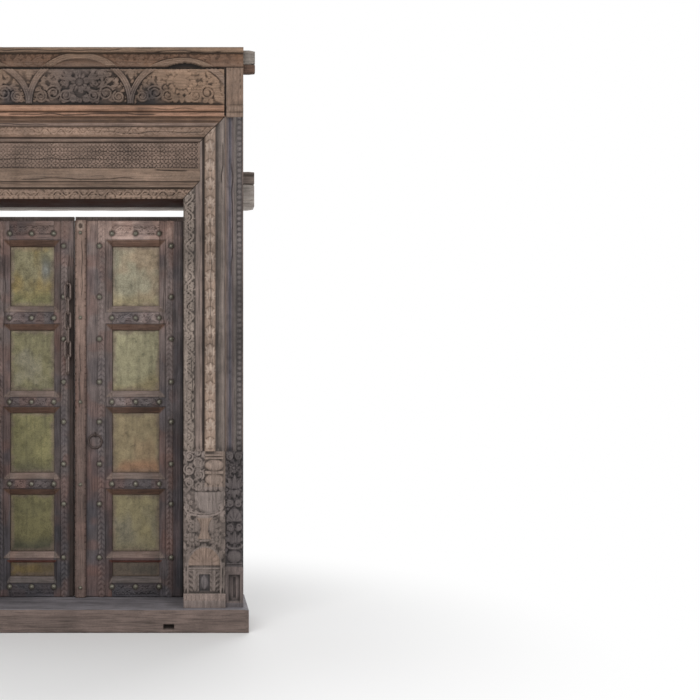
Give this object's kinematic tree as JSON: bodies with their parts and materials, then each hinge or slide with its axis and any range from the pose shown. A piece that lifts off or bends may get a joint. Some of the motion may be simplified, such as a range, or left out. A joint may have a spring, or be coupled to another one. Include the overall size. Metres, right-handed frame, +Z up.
{
  "type": "carved temple door",
  "caption": "Carved timber door with brass-panelled leaves on pivots, a ring pull and a chain, in a deep moulded frame with carved lintel, frieze, cornice and sill.",
  "frame": {"origin": "middle of the sill's foot, halfway between its front and back", "axes": "+X to the right seen from the front, +Y into the doorway, +Z up"},
  "size_m": [1.462, 0.34, 2.395],
  "materials": {
    "frame_wood": "weathered, carved",
    "light_wood": "weathered, carved",
    "grey_wood": "silvered, rough",
    "leaf_wood": "dark, worn",
    "red_wood": "reddish, worn",
    "bead_wood": "worn bare",
    "brass_sheet": "aged, patchy",
    "stud_brass": "aged, dull",
    "iron": "rusty"
  },
  "bodies": {
    "frame": {"sill": "frame_wood", "left_jamb": "frame_wood", "right_jamb": "frame_wood", "left_post": "frame_wood", "right_post": "frame_wood", "lintel": "frame_wood", "architrave_head": "frame_wood", "frieze_beam": "light_wood", "cornice": "frame_wood", "lower_tie_beam": "grey_wood", "lower_tie_board": "frame_wood", "upper_tie_beam": "grey_wood", "upper_tie_board": "frame_wood"},
    "left_leaf": {"left_hanging_stile": "leaf_wood", "left_meeting_stile": "leaf_wood", "left_back_planks": "leaf_wood", "left_top_rail": "leaf_wood", "left_rail_2": "leaf_wood", "left_rail_3": "leaf_wood", "left_rail_4": "leaf_wood", "left_thin_rail": "red_wood", "left_bottom_rail": "leaf_wood", "left_panel_1": "brass_sheet", "left_panel_2": "brass_sheet", "left_panel_3": "brass_sheet", "left_panel_4": "brass_sheet", "left_panel_5": "brass_sheet", "left_studs": "stud_brass", "chain_staple": "iron"},
    "right_leaf": {"right_hanging_stile": "leaf_wood", "right_meeting_stile": "leaf_wood", "right_back_planks": "leaf_wood", "right_top_rail": "leaf_wood", "right_rail_2": "leaf_wood", "right_rail_3": "leaf_wood", "right_rail_4": "leaf_wood", "right_thin_rail": "red_wood", "right_bottom_rail": "leaf_wood", "right_panel_1": "brass_sheet", "right_panel_2": "brass_sheet", "right_panel_3": "brass_sheet", "right_panel_4": "brass_sheet", "right_panel_5": "brass_sheet", "right_studs": "stud_brass", "meeting_bead": "bead_wood", "bead_studs": "stud_brass", "ring_staple": "iron"},
    "ring": {"ring": "iron"},
    "chain_link_1": {"chain_link_1": "iron"},
    "chain_link_2": {"chain_link_2": "iron"},
    "chain_link_3": {"chain_link_3": "iron"},
    "chain_link_4": {"chain_link_4": "iron"},
    "chain_link_5": {"chain_link_5": "iron"},
    "chain_link_6": {"chain_link_6": "iron"}
  },
  "joints": [
    {"name": "left_leaf_pivot", "type": "hinge", "parent": "frame", "child": "left_leaf", "pos_m": [-0.463, 0.102, 0.096], "axis": [0, 0, 1], "range_deg": [0, 100]},
    {"name": "right_leaf_pivot", "type": "hinge", "parent": "frame", "child": "right_leaf", "pos_m": [0.463, 0.102, 0.096], "axis": [0, 0, -1], "range_deg": [0, 100]},
    {"name": "ring_pivot", "type": "hinge", "parent": "right_leaf", "child": "ring", "pos_m": [0.0465, 0.0701, 0.796], "axis": [-1, 0, 0], "range_deg": [0, 110]},
    {"name": "chain_link_1_swing", "type": "hinge", "parent": "left_leaf", "child": "chain_link_1", "pos_m": [-0.07, 0.05554, 1.445], "axis": [-0.9397, -0.342, 0], "range_deg": [0, 40]},
    {"name": "chain_link_2_swing", "type": "hinge", "parent": "chain_link_1", "child": "chain_link_2", "pos_m": [-0.07, 0.05554, 1.374], "axis": [-0.9397, -0.342, 0], "range_deg": [0, 40]},
    {"name": "chain_link_3_swing", "type": "hinge", "parent": "chain_link_2", "child": "chain_link_3", "pos_m": [-0.07, 0.05554, 1.3124], "axis": [-0.342, 0.9397, 0], "range_deg": [0, 40]},
    {"name": "chain_link_4_swing", "type": "hinge", "parent": "chain_link_3", "child": "chain_link_4", "pos_m": [-0.07, 0.05554, 1.2508], "axis": [-0.9397, -0.342, 0], "range_deg": [0, 40]},
    {"name": "chain_link_5_swing", "type": "hinge", "parent": "chain_link_4", "child": "chain_link_5", "pos_m": [-0.07, 0.05554, 1.1892], "axis": [-0.342, 0.9397, 0], "range_deg": [0, 40]},
    {"name": "chain_link_6_swing", "type": "hinge", "parent": "chain_link_5", "child": "chain_link_6", "pos_m": [-0.07, 0.05554, 1.1276], "axis": [-0.9397, -0.342, 0], "range_deg": [0, 40]}
  ]
}
